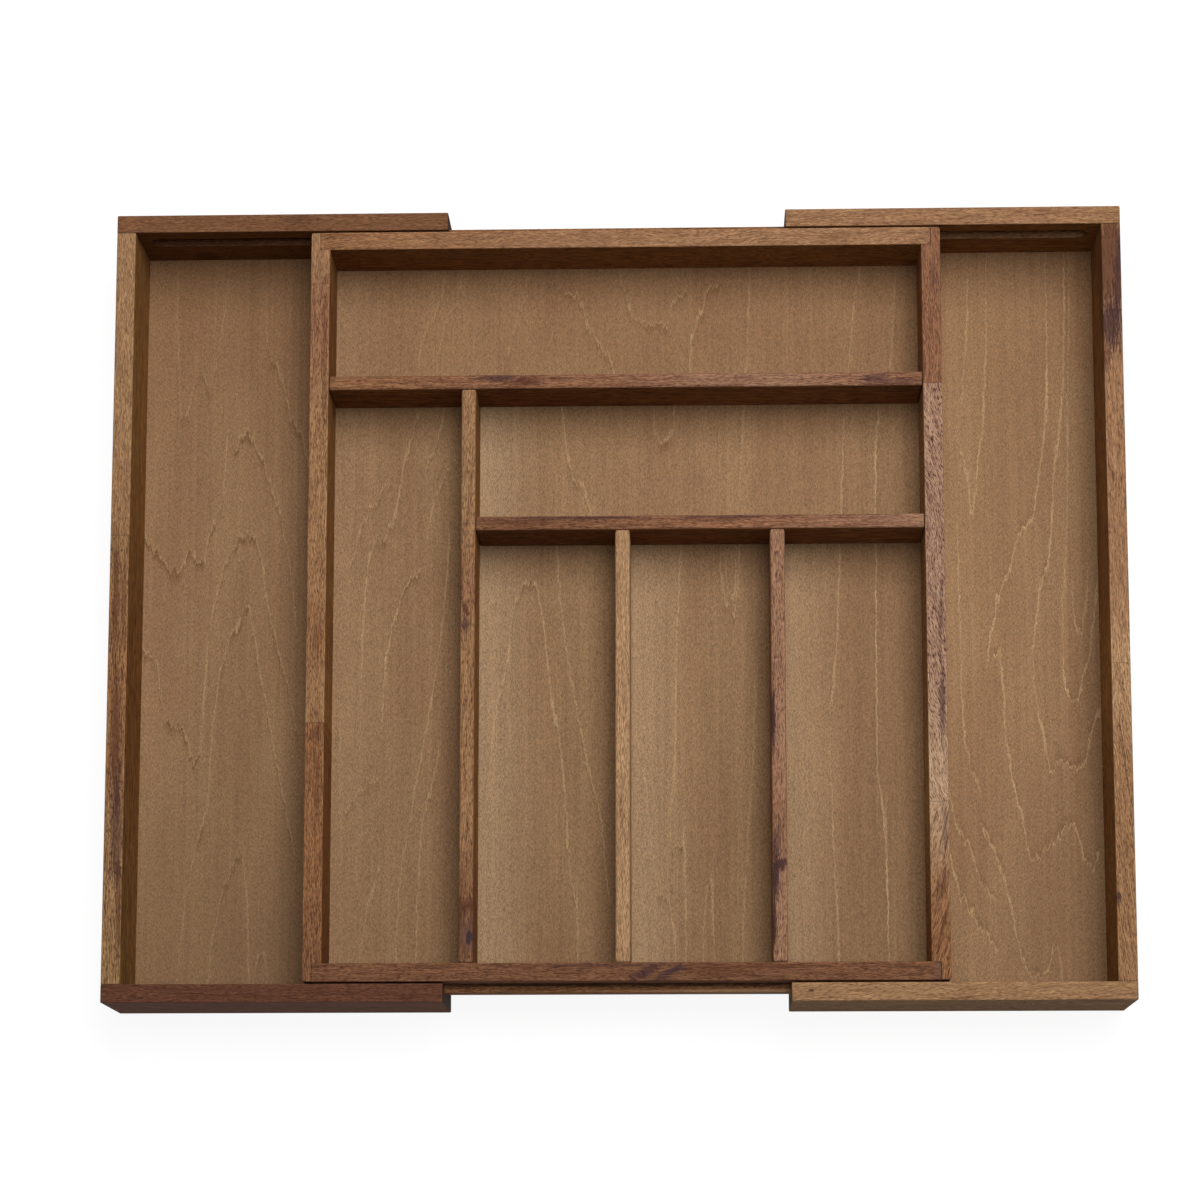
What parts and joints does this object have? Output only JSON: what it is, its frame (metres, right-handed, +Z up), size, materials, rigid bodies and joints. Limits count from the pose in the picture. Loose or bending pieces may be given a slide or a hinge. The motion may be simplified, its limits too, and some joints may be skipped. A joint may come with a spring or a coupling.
{
  "type": "cutlery tray",
  "caption": "Expandable wooden cutlery tray: a divided centre tray with a sliding wing on each side that draws out on grooved rails to make more compartments.",
  "frame": {"origin": "on the table, under the middle of the tray as it stands with its wings drawn out", "axes": "+X to the right, along the way the wings slide; +Y to the rear; +Z up"},
  "size_m": [0.5558, 0.44, 0.06],
  "materials": {
    "acacia_board": "oiled acacia",
    "acacia_divider": "oiled acacia",
    "acacia_runner": "oiled acacia",
    "plywood_floor": "stained rotary-cut plywood"
  },
  "bodies": {
    "centre_tray": {"centre_left_side": "acacia_board", "centre_right_side": "acacia_board", "centre_rear_wall": "acacia_board", "centre_front_wall": "acacia_board", "centre_floor": "plywood_floor", "long_cross_divider": "acacia_divider", "short_cross_divider": "acacia_divider", "tall_divider": "acacia_divider", "left_short_divider": "acacia_divider", "right_short_divider": "acacia_divider", "rear_runner": "acacia_runner", "front_runner": "acacia_runner"},
    "left_wing": {"left_wing_side": "acacia_board", "left_wing_rear_rail": "acacia_board", "left_wing_front_rail": "acacia_board", "left_wing_floor": "plywood_floor"},
    "right_wing": {"right_wing_side": "acacia_board", "right_wing_rear_rail": "acacia_board", "right_wing_front_rail": "acacia_board", "right_wing_floor": "plywood_floor"}
  },
  "joints": [
    {"name": "left_wing_slide", "type": "slide", "parent": "centre_tray", "child": "left_wing", "axis": [-1, 0, 0], "range_m": [-0.0975, 0.0075]},
    {"name": "right_wing_slide", "type": "slide", "parent": "centre_tray", "child": "right_wing", "axis": [1, 0, 0], "range_m": [-0.0882, 0.0168]}
  ]
}
